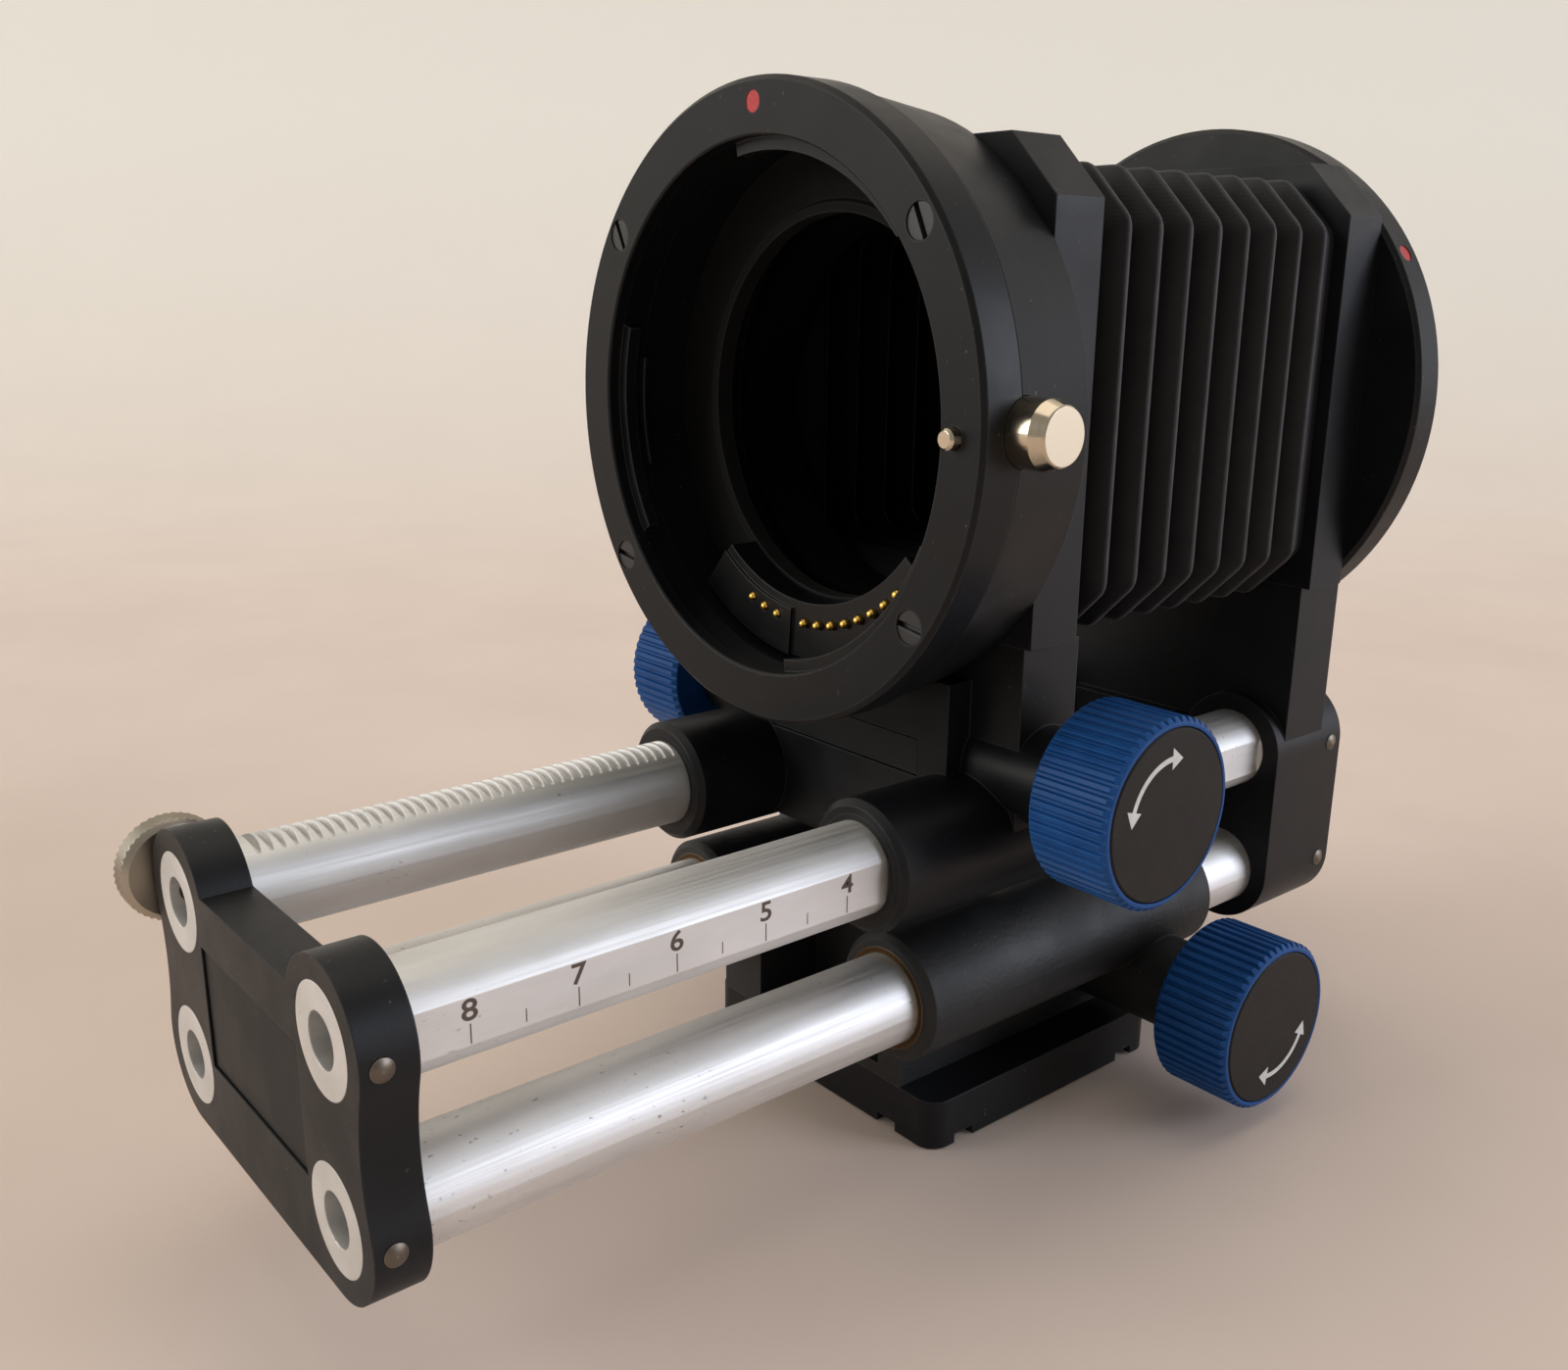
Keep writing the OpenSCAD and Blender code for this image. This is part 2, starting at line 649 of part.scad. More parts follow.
module mount_housing() {
    color([0.08, 0.08, 0.09]) difference() {
        turned(seam_y) polygon([[housing_bore_r, 0], [housing_r - seam_edge, 0], [housing_r, seam_edge],
            [housing_back_r, lens_head_y - seam_y], [hole_r + 2, lens_head_y - seam_y],
            [hole_r + 2, baffle_y + baffle_t - seam_y], [housing_bore_r, baffle_y + baffle_t - seam_y]]);
        for (a = mount_screw_angles) mount_screw_hole(a, seam_y - eps, 5 + eps, screw_shank_r);
        button_bore();
        tube_y(lock_pin_x, axis_z, seam_y - eps, 4 + eps, lock_pin_r + run_gap);
    }
}

module mount_screw_hole(a, y, len, r) {
    tube_y(screw_circle_r * cos(a), axis_z + screw_circle_r * sin(a), y, len, r);
}

module button_bore() {
    bar_x(button_bore_x, button_y, button_z, mount_r, button_r + run_gap);
}

module light_baffle() {
    inner = aperture_r;
    color([0.06, 0.06, 0.06]) turned(baffle_y) polygon([[inner, -baffle_rim], [inner + 1, -baffle_rim],
        [inner + 1.4, 0], [housing_bore_r, 0], [housing_bore_r, baffle_t], [inner, baffle_t]]);
}

module lens_mount_ring() {
    edge = 0.5;
    color([0.1, 0.1, 0.11]) difference() {
        union() {
            turned(mount_y) polygon([[throat_r, 0.2], [throat_r + 0.2, 0], [mount_r - edge, 0],
                [mount_r, edge], [mount_r, mount_ring_t - seam_edge], [mount_r - seam_edge, mount_ring_t],
                [throat_r + lip_relief, mount_ring_t], [throat_r + lip_relief, tab_set],
                [throat_r, tab_set]]);
            for (t = tabs) turned(mount_y + tab_set, t[1], t[0]) translate([tab_r, 0])
                square([throat_r + 1 - tab_r, tab_t]);
        }
        for (a = mount_screw_angles) {
            mount_screw_hole(a, mount_y - eps, mount_ring_t + 2 * eps, screw_shank_r);
            mount_screw_hole(a, mount_y - eps, 2 + eps, screw_head_r);
        }
        tube_y(0, axis_z + screw_circle_r + 0.1, mount_y - eps, 0.6 + eps, dot_r);
        tube_y(lock_pin_x, axis_z, mount_y - eps, mount_ring_t + 2 * eps, lock_pin_r + run_gap);
        button_bore();
    }
}

module mount_leaf_springs() {
    color("dimgray") for (t = tabs)
        turned(spring_y, spring_sweep, t[0] + 8)
            translate([throat_r - 1, 0]) square([1 + lip_relief - 0.05, spring_t]);
}

module mount_screws() {
    slot_w = 0.6;
    color([0.14, 0.14, 0.15]) for (a = mount_screw_angles) difference() {
        union() {
            mount_screw_hole(a, mount_y + 0.15, 1.85, screw_head_r);
            mount_screw_hole(a, mount_y + 1, seam_y - mount_y + 3.8, screw_shank_r);
        }
        translate([screw_circle_r * cos(a), mount_y, axis_z + screw_circle_r * sin(a)])
            rotate([0, a * 1.7, 0]) translate([-screw_head_r - eps, -eps, -slot_w / 2])
                cube([2 * (screw_head_r + eps), eps + 0.8, slot_w]);
    }
}

module front_index_dot() {
    color("red") tube_y(0, axis_z + screw_circle_r + 0.1, mount_y + 0.05, 0.55, dot_r);
}

module contact_block() {
    color([0.07, 0.07, 0.08]) difference() {
        union() {
            turned(block_top_y, block_sweep, block_start) polygon([[block_in_r, 0], [block_out_r, 0],
                [block_out_r, block_t], [rim_clear_r, block_t], [rim_clear_r, block_t - baffle_rim - 0.1],
                [block_in_r, block_t - baffle_rim - 0.1]]);
            // the three-pin part stands a little higher
            turned(block_top_y - 0.4, pin_start + 3 * pin_step - block_start, block_start)
                translate([block_in_r + 1, 0]) square([block_out_r - block_in_r - 1, 1]);
        }
        for (k = pin_slots) contact_place(k)
            translate([0, -0.6, 0]) rotate([-90, 0, 0]) cylinder(h = 8, r = contact_r + 0.08, $fn = 32);
    }
}

module contact_place(k) {
    a = pin_start + k * pin_step;
    translate([pin_circle_r * cos(a), block_top_y, axis_z + pin_circle_r * sin(a)]) children();
}

module contact_pins() {
    color("gold") for (k = pin_slots) contact_place(k)
        translate([0, -contact_out, 0]) rotate([-90, 0, 0]) rotate_extrude($fn = 32)
            polygon([[0, 0], [contact_r * 0.55, 0.08], [contact_r, 0.4],
                [contact_r, contact_out + baffle_y - block_top_y - contact_travel - 0.1],
                [0, contact_out + baffle_y - block_top_y - contact_travel - 0.1]]);
}

module lens_lock_pin() {
    color("silver") translate([lock_pin_x, mount_y - lock_pin_out, axis_z]) rotate([-90, 0, 0])
        rotate_extrude() polygon([[0, 0], [lock_pin_r - 0.25, 0], [lock_pin_r, 0.25],
            [lock_pin_r, lock_pin_out + mount_ring_t + 1.6], [0, lock_pin_out + mount_ring_t + 1.6]]);
}

module release_button() {
    out_x = mount_r + button_out;
    inner_x = button_bore_x + 0.1 + button_travel;
    color([0.8, 0.76, 0.7]) translate([inner_x, button_y, button_z]) rotate([0, 90, 0])
        rotate_extrude() polygon([[0, 0], [button_r, 0], [button_r, out_x - inner_x - 1.5],
            [button_face_r, out_x - inner_x - 0.15], [button_face_r - 0.15, out_x - inner_x],
            [0, out_x - inner_x]]);
}

// ---- camera mount

module camera_mount_disc() {
    edge = 0.5;
    color([0.1, 0.1, 0.11]) difference() {
        turned(disc_y) polygon([[hole_r, 0], [disc_d / 2 - edge, 0], [disc_d / 2, edge],
            [disc_d / 2, disc_t - edge / 2], [disc_d / 2 - edge / 2, disc_t], [flange_r, disc_t],
            [flange_r, disc_t - bayonet_seat], [hole_r, disc_t - bayonet_seat]]);
        for (a = [45:90:315]) tube_y(bayonet_screw_r * cos(a), axis_z + bayonet_screw_r * sin(a),
            bayonet_y - 3, 3 + eps, 0.6);
        rear_dot_place() cylinder(h = 2, r = dot_r);
    }
}

lug_h = 2;                  // how far a lug stands out of the bayonet's tube
flange_r = bayonet_d / 2 + lug_h + 0.4;
bayonet_seat = 0.3;
bayonet_screw_r = bayonet_d / 2 - 1.4;
rear_dot_angle = 32;

module rear_dot_place() {
    translate([0, disc_y + 2.2, axis_z]) rotate([0, 90 - rear_dot_angle, 0])
        translate([0, 0, disc_d / 2 - 0.6]) children();
}

module rear_index_dot() {
    color("red") rear_dot_place() cylinder(h = 0.5, r = dot_r);
}

module camera_bayonet() {
    lug_set = 3;
    color("silver") difference() {
        union() {
            turned(bayonet_y) polygon([[hole_r + 1, -bayonet_seat], [bayonet_d / 2, -bayonet_seat],
                [bayonet_d / 2, bayonet_len - 0.4], [bayonet_d / 2 - 0.4, bayonet_len],
                [hole_r + 1, bayonet_len]]);
            for (a = [-25, 95, 215]) turned(bayonet_y + lug_set, 52, a) translate([bayonet_d / 2 - 0.5, 0])
                square([lug_h + 0.5, bayonet_len - lug_set - 0.6]);
        }
        for (a = [45:90:315]) tube_y(bayonet_screw_r * cos(a), axis_z + bayonet_screw_r * sin(a),
            bayonet_y - 2 * eps, bayonet_len + 3 * eps, 0.6);
        for (a = [45:90:315]) tube_y(bayonet_screw_r * cos(a), axis_z + bayonet_screw_r * sin(a),
            bayonet_y + bayonet_len - 0.9, 0.9 + eps, 1.1);
    }
}

module bayonet_screws() {
    color("silver") for (a = [45:90:315])
        translate([bayonet_screw_r * cos(a), 0, axis_z + bayonet_screw_r * sin(a)]) {
            tube_y(0, 0, bayonet_y + bayonet_len - 0.85, 0.85, 1.1);
            tube_y(0, 0, bayonet_y - 2.8, bayonet_len + 2, 0.6);
        }
}

// contacts on the camera side, on a ledge inside the male bayonet
module rear_contact_block() {
    color([0.07, 0.07, 0.08]) turned(bayonet_y - bayonet_seat, 80, -130) translate([hole_r - 2.4, 0])
        square([3.3, bayonet_len - 0.8]);
}

// ---- bellows

function fold_ring(half_w, half_h, c, y) = [
    [half_w, y, c - half_h], [half_w, y, half_h - c], [half_w - c, y, half_h], [c - half_w, y, half_h],
    [-half_w, y, half_h - c], [-half_w, y, c - half_h], [c - half_w, y, -half_h], [half_w - c, y, -half_h]
];

// an octagonal ring drawn in by d, its sides kept parallel
function drawn_in(d, y) =
    fold_ring(bellows_w / 2 - d, bellows_h / 2 - d, fold_chamfer - d * (2 - sqrt(2)), y);

module bellows() {
    stations = concat(
        [[bellows_y0, collar_in]],
        [for (k = [0:2 * pleats])
            [bellows_y0 + front_collar + k * pleat_pitch / 2, k % 2 == 0 ? pleat_d : 0]],
        [[bellows_y1, collar_in]]
    );
    n = len(stations);
    points = concat(
        [for (s = stations) each drawn_in(s[1], s[0])],
        [for (s = stations) each drawn_in(s[1] + fold_skin, s[0])]
    );
    inner = 8 * n;
    faces = concat(
        [for (i = [0:n - 2], j = [0:7]) let (a = 8 * i + j, b = 8 * i + (j + 1) % 8) each
            [[a, a + 8, b], [b, a + 8, b + 8]]],
        [for (i = [0:n - 2], j = [0:7]) let (a = inner + 8 * i + j, b = inner + 8 * i + (j + 1) % 8) each
            [[a, b, a + 8], [b, b + 8, a + 8]]],
        [for (j = [0:7]) let (a = j, b = (j + 1) % 8) each
            [[a, b, inner + a], [b, inner + b, inner + a]]],
        [for (j = [0:7]) let (a = 8 * (n - 1) + j, b = 8 * (n - 1) + (j + 1) % 8) each
            [[a, inner + a, b], [b, inner + a, inner + b]]]
    );
    color([0.12, 0.12, 0.12]) translate([0, 0, bellows_z]) polyhedron(points, faces);
}

// ---- carriage and foot

module carriage_body() {
    bridge_h = 8;
    wall_t = 1.8;
    recess_back = -foot_screw_y - 2.4;      // the front recess stops short of the foot's screws
    recess_x = core_w / 2 - 3.6;
    color([0.09, 0.09, 0.1]) difference() {
        union() {
            for (x = [-rod_x, rod_x])
                barrel_y(x, lower_z, -carriage_len / 2, carriage_len, barrel_r, barrel_edge);
            translate([-rod_x, recess_back, lower_z - bridge_h / 2])
                cube([rod_span, carriage_len / 2 - 2 - recess_back, bridge_h]);
            difference() {
                translate([-core_w / 2, -foot_len / 2, foot_t]) cube([core_w, foot_len, lower_z - foot_t]);
                // recess in the front, between the barrels
                translate([-recess_x, -foot_len / 2 - eps, foot_t + 1.5])
                    cube([2 * recess_x, foot_len / 2 + eps + recess_back, lower_z]);
            }
            bar_x(-boss_end, lower_shaft_y, lower_shaft_z, 2 * boss_end, boss_r);
            // end walls that close the left groove over the foot plate
            for (y = [-foot_len / 2, foot_len / 2 - wall_t]) translate([-rod_x - 1, y, foot_t])
                cube([rod_x + 2 - core_w / 2, wall_t, lower_z - foot_t]);
        }
        for (x = [-rod_x, rod_x]) barrel_bores(x, lower_z, -carriage_len / 2, carriage_len);
        shaft_bores(lower_shaft_y, lower_shaft_z);
        for (x = [-1, 1], y = [-1, 1]) translate([x * foot_screw_x, y * foot_screw_y, foot_t - eps])
            cylinder(h = 5 + eps, r = 1.25);
        translate([0, 0, foot_t - eps]) cylinder(h = insert_h - foot_t + 0.2 + eps, r = insert_r);
    }
}

foot_screw_x = 9.5;
foot_screw_y = 8;
insert_r = 6.5;
insert_h = 9;
socket_r = 2.55;            // tapping radius of the quarter-inch thread

module foot_plate() {
    groove_w = 3;
    groove_d = 1.1;
    corner = 2.5;
    pad_x = 6;              // width of a corner pad, and its length
    pad_y = 3.7;
    color([0.09, 0.09, 0.1]) difference() {
        linear_extrude(foot_t) {
            square([foot_w - 2 * corner, foot_len], center = true);
            square([foot_w, foot_len - 2 * corner], center = true);
            for (x = [-1, 1], y = [-1, 1])
                translate([x * (foot_w / 2 - corner), y * (foot_len / 2 - corner)]) circle(r = corner);
        }
        for (x = [-1, 1]) translate([x * (foot_w / 2 - pad_x - groove_w / 2) - groove_w / 2,
            -foot_len / 2 - eps, -eps]) cube([groove_w, foot_len + 2 * eps, groove_d + eps]);
        for (y = [-1, 1]) translate([-foot_w / 2 - eps,
            y * (foot_len / 2 - pad_y - groove_w / 2) - groove_w / 2, -eps])
                cube([foot_w + 2 * eps, groove_w, groove_d + eps]);
        translate([0, 0, -eps]) cylinder(h = foot_t + 2 * eps, r = insert_r);
        for (x = [-1, 1], y = [-1, 1]) translate([x * foot_screw_x, y * foot_screw_y, -eps]) {
            cylinder(h = foot_t + 2 * eps, r = 1.25);
            cylinder(h = 2.6 + eps, r = 2.4);
        }
    }
}

module foot_screws() {
    color("dimgray") for (x = [-1, 1], y = [-1, 1])
        translate([x * foot_screw_x, y * foot_screw_y, 0]) difference() {
            union() {
                translate([0, 0, 0.7]) cylinder(h = 1.9, r = 2.4);
                translate([0, 0, 2]) cylinder(h = foot_t + 2.6, r = 1.25);
            }
            translate([0, 0, 0.2]) cylinder(h = 1.6, r = 1.25, $fn = 6);
        }
}

module tripod_insert() {
    color("silver") difference() {
        cylinder(h = insert_h, r = insert_r);
        translate([0, 0, -eps]) cylinder(h = insert_h - 1 + eps, r = socket_r);
    }
}

foot_plate();
foot_screws();
tripod_insert();
carriage_body();
lower_rod_bushes();
lower_shaft_bushes();
rod_upper_left();
rod_upper_right();
rod_lower_left();
rod_lower_right();
end_plate();
name_plate();
end_plate_screws();
camera_standard();
camera_standard_screws();
camera_mount_disc();
camera_bayonet();
bayonet_screws();
rear_contact_block();
rear_index_dot();
bellows();
lens_standard();
label_plate();
upper_rod_bushes();
upper_shaft_bushes();
mount_housing();
light_baffle();
lens_mount_ring();
mount_leaf_springs();
mount_screws();
front_index_dot();
contact_block();
contact_pins();
release_button();
lens_lock_pin();
rod_clamp_screw();
upper_drive_knob();
upper_drive_cap();
upper_pinion_shaft();
upper_lock_knob();
upper_lock_cap();
upper_lock_spindle();
upper_lock_pad();
lower_drive_knob();
lower_drive_cap();
lower_pinion_shaft();
lower_lock_knob();
lower_lock_cap();
lower_lock_spindle();
lower_lock_pad();
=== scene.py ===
import json
import math

import bpy
from mathutils import Matrix, Vector


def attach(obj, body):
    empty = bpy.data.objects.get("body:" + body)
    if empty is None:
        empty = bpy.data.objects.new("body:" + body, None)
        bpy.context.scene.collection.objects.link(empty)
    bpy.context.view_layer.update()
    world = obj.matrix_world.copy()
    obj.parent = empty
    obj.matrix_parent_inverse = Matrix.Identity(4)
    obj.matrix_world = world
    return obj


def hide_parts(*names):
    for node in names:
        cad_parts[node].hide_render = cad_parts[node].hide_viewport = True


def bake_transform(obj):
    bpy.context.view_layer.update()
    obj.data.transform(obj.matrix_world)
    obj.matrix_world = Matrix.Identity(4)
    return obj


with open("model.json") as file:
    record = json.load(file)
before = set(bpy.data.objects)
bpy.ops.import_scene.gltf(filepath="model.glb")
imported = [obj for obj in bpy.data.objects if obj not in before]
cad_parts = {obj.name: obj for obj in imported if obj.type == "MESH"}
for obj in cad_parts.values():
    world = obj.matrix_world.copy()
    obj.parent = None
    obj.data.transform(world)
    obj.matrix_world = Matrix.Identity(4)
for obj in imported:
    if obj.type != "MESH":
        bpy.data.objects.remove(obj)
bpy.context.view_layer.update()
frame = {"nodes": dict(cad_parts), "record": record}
MM = 0.001

# ---------------------------------------------------------------- sizes, in mm, as in the CAD

upper_z, axis_z = 36.4, 81.1  # heights of the upper rods and of the light path
rod_x, rod_r, scale_flat_depth = 17.1, 5.0, 0.5
scale_flat_x = rod_x + rod_r - scale_flat_depth
upper_shaft = (-9.0, 44.0)  # y and z of the knobs' axes
lower_shaft = (15.4, 12.4)
cap_face_x = 40.1
light_path_r = 22.4
bellows_z, bellows_half, bellows_chamfer = 81.9, 24.5, 5.6
bellows_front, bellows_back = -7.05, 37.4
front_collar, rear_collar = 3.1, 0.4
pleats, pleat_depth = 8, 5.5
clamp_screw_y = -84.1

# ---------------------------------------------------------------- materials

NOISE_RANGE = (0.35, 0.65)  # most of a noise texture's values lie between these


def linear(hex_colour):
    """An sRGB hex value as Blender's linear colour."""
    channels = [int(hex_colour[i:i + 2], 16) / 255 for i in (1, 3, 5)]
    return [c / 12.92 if c <= 0.04045 else ((c + 0.055) / 1.055) ** 2.4
            for c in channels] + [1.0]


def add(tree, kind, links=None, **settings):
    """Adds a node. Settings go by attribute, or by input name or place; a link is input: socket."""
    made = tree.nodes.new("ShaderNode" + kind)
    for name, value in settings.items():
        if name.startswith("in"):
            made.inputs[int(name[2:])].default_value = value
        elif hasattr(made, name):
            setattr(made, name, value)
        else:
            made.inputs[name.replace("_", " ")].default_value = value
    for name, socket in (links or {}).items():
        tree.links.new(socket, made.inputs[name])
    return made


def give(tree, target, source):
    """Feeds an input from another node's socket, or sets it to a hex colour or a number."""
    if isinstance(source, bpy.types.NodeSocket):
        tree.links.new(source, target)
    else:
        target.default_value = linear(source) if isinstance(source, str) else source


def ramp(tree, factor, start, end, low=0.0, high=1.0):
    """Goes from low to high, a number or a socket each, as factor goes from start to end."""
    made = add(tree, "MapRange", {0: factor}, in1=start, in2=end)
    give(tree, made.inputs[3], low)
    give(tree, made.inputs[4], high)
    return made.outputs[0]


def calc(tree, operation, first, second):
    """One step of arithmetic on two sockets or numbers."""
    made = add(tree, "Math", operation=operation)
    give(tree, made.inputs[0], first)
    give(tree, made.inputs[1], second)
    return made.outputs[0]


def surface(name, colour, metallic, roughness, **more):
    """A new material: its tree, its shader and the object's own coordinates."""
    material = bpy.data.materials.new(name)
    material.use_nodes = True
    tree = material.node_tree
    shader = next(n for n in tree.nodes if n.type == "BSDF_PRINCIPLED")
    shader.inputs["Base Color"].default_value = linear(colour)
    shader.inputs["Metallic"].default_value = metallic
    shader.inputs["Roughness"].default_value = roughness
    for key, value in more.items():
        shader.inputs[key.replace("_", " ")].default_value = value
    place = add(tree, "TexCoord").outputs["Object"]
    return material, tree, shader, place


def grain(tree, place, size_mm, stretch=(1, 1, 1), detail=3.0, harsh=0.55):
    """Noise whose lumps are size_mm across; stretch lengthens them along an axis."""
    scale = tuple(1 / (s * size_mm * MM) for s in stretch)
    spread = add(tree, "Mapping", {"Vector": place}, Scale=scale)
    return add(tree, "TexNoise", {"Vector": spread.outputs[0]}, Scale=1.0, Detail=detail,
               Roughness=harsh).outputs[0]


def tinted(tree, factor, first, second, start=NOISE_RANGE[0], end=NOISE_RANGE[1]):
    """Goes from first to second, a hex value or a socket each, as factor goes from start to end."""
    mixed = add(tree, "Mix", {0: ramp(tree, factor, start, end)}, data_type="RGBA")
    give(tree, mixed.inputs[6], first)
    give(tree, mixed.inputs[7], second)
    return mixed.outputs[2]


def relief(tree, shader, height, depth_mm, edge_mm=0.2):
    """Raises height by depth_mm on a surface whose edges are eased to edge_mm, as if deburred."""
    eased = add(tree, "Bevel", samples=4, Radius=edge_mm * MM)
    bump = add(tree, "Bump", {"Height": height, "Normal": eased.outputs[0]}, Strength=1.0,
               Distance=depth_mm * MM)
    tree.links.new(bump.outputs[0], shader.inputs["Normal"])


def rubbed_edges(tree, body, colour, width_mm, share):
    """The body's colour, moved towards colour by share on edges: wear of the coating there, and a
    painted highlight where eased edges catch the light.
    """
    flat, turned = 0.99, 0.85  # cosine between the eased normal and the face's own
    eased = add(tree, "Bevel", samples=4, Radius=width_mm * MM)
    facing = add(tree, "NewGeometry").outputs["Normal"]
    turn = add(tree, "VectorMath", {0: eased.outputs[0], 1: facing},
               operation="DOT_PRODUCT").outputs["Value"]
    return tinted(tree, ramp(tree, turn, flat, turned, 0.0, share), body, colour, 0.0, 1.0)


def off_axis(tree, place, centre, plane):
    """How far a point is from centre, in metres, measured only along the axes that plane keeps."""
    moved = add(tree, "Mapping", {"Vector": place}, Scale=tuple(float(p) for p in plane),
                Location=tuple(-c * MM * p for c, p in zip(centre, plane)))
    return add(tree, "VectorMath", {0: moved.outputs[0]}, operation="LENGTH").outputs["Value"]


def black_finish(name, colour, worn, roughness, grain_mm, dusty=True, depth_mm=0.010, shine=0.25,
                 worn_and_highlit=0.35, light_path=False):
    """A black coating: slow drift in tone and gloss, a fine grain, greyer edges from wear and a
    painted highlight, a little dust.
    """
    drift_mm, dust_mm, edge_mm = 9.0, 0.45, 0.3
    material, tree, shader, place = surface(name, colour, 0.0, roughness, Specular_IOR_Level=shine)
    drift = grain(tree, place, drift_mm, detail=4.0)
    body = tinted(tree, drift, colour, worn, 0.3, 0.85)
    if dusty:
        body = tinted(tree, grain(tree, place, dust_mm, detail=0.0), body, "#6f6c68", 0.82, 1.05)
    # the edges are drawn greyer: wear of the coating, and a painted highlight
    body = rubbed_edges(tree, body, "#4d4e51", edge_mm, worn_and_highlit)
    gloss = ramp(tree, drift, *NOISE_RANGE, roughness - 0.05, roughness + 0.07)
    if light_path:
        # the bore that the light passes is painted matt black and drawn darker still, as painted
        # shade, so that nothing shines inside it
        bore = off_axis(tree, place, (0, 0, axis_z), (1, 0, 1))
        paint_and_shade_edge = (light_path_r * MM, (light_path_r + 0.1) * MM)
        body = tinted(tree, bore, "#050505", body, *paint_and_shade_edge)
        gloss = ramp(tree, bore, *paint_and_shade_edge, 0.95, gloss)
        give(tree, shader.inputs["Specular IOR Level"], ramp(tree, bore, *paint_and_shade_edge, 0.05, shine))
    give(tree, shader.inputs["Base Color"], body)
    give(tree, shader.inputs["Roughness"], gloss)
    relief(tree, shader, grain(tree, place, grain_mm), depth_mm)
    return material


def rod_finish():
    """Drawn aluminium, clear anodised: satin, fine draw lines along the rod, grey bush scuffs."""
    line_mm, cloud_mm, pit_mm, patch_mm = 0.30, 6.0, 0.5, 14.0
    material, tree, shader, place = surface("clear_anodised_drawn_aluminium", "#e0dfdd", 1.0, 0.56)
    lines = grain(tree, place, line_mm, stretch=(1, 90, 1), detail=2.0)
    clouds = grain(tree, place, cloud_mm, stretch=(1, 3, 1), detail=4.0)
    body = tinted(tree, clouds, "#d8d7d5", "#e6e5e4", 0.35, 0.7)
    # pits show only in the patches where the bushes run
    pits = ramp(tree, grain(tree, place, pit_mm, stretch=(1, 1.8, 1), detail=1.0), 0.69, 0.79)
    patches = ramp(tree, grain(tree, place, patch_mm, detail=2.0), 0.48, 0.62, 0.0, 0.7)
    scuffs = calc(tree, "MULTIPLY", pits, patches)
    give(tree, shader.inputs["Base Color"], tinted(tree, scuffs, body, "#5b5955", 0.0, 1.0))
    give(tree, shader.inputs["Roughness"], ramp(tree, lines, *NOISE_RANGE, 0.52, 0.62))
    relief(tree, shader, lines, 0.003)
    return material


def turned_metal(name, colour, roughness, ring_mm, centre=(0, 0, 0), plane=(1, 0, 1),
                 face_roughness=None):
    """Metal faced on a lathe: rings round centre, coarser than real ones so that they show."""
    material, tree, shader, place = surface(name, colour, 1.0, roughness)
    rings = calc(tree, "MULTIPLY", off_axis(tree, place, centre, plane), 1 / (ring_mm * MM))
    tool = add(tree, "TexNoise", {"W": rings}, noise_dimensions="1D", Scale=1.0,
               Detail=2.0).outputs[0]
    gloss = ramp(tree, tool, *NOISE_RANGE, roughness - 0.03, roughness + 0.06)
    if face_roughness is not None:
        # the flat face is brushed, the flank is left polished
        normal = add(tree, "TexCoord").outputs["Normal"]
        along_x = add(tree, "SeparateXYZ", {0: normal}).outputs["X"]
        gloss = ramp(tree, along_x, 0.90, 0.97, gloss, face_roughness)
    give(tree, shader.inputs["Roughness"], gloss)
    # painted highlight: the eased edges are drawn near white, as if they caught the light
    give(tree, shader.inputs["Base Color"], rubbed_edges(tree, colour, "#fff6e6", 0.15, 0.3))
    relief(tree, shader, tool, 0.004, edge_mm=0.12)
    return material


def knob_finish():
    """Blue anodised aluminium, blasted: the crests of the grip ribs are drawn a little paler, from
    wear and a painted highlight.
    """
    drift_mm, blast_mm, crest_mm = 3.0, 0.35, 0.22
    material, tree, shader, place = surface("blue_anodised_aluminium", "#114684", 0.0, 0.45,
                                            Specular_IOR_Level=0.22)
    drift = grain(tree, place, drift_mm, detail=4.0)
    body = tinted(tree, drift, "#0e3f7b", "#144c8c", 0.3, 0.7)
    # the crests are drawn paler: wear of the anodising, and a painted highlight
    give(tree, shader.inputs["Base Color"], rubbed_edges(tree, body, "#3f7cbd", crest_mm, 0.35))
    give(tree, shader.inputs["Roughness"], ramp(tree, drift, *NOISE_RANGE, 0.40, 0.52))
    relief(tree, shader, grain(tree, place, blast_mm), 0.010)
    return material


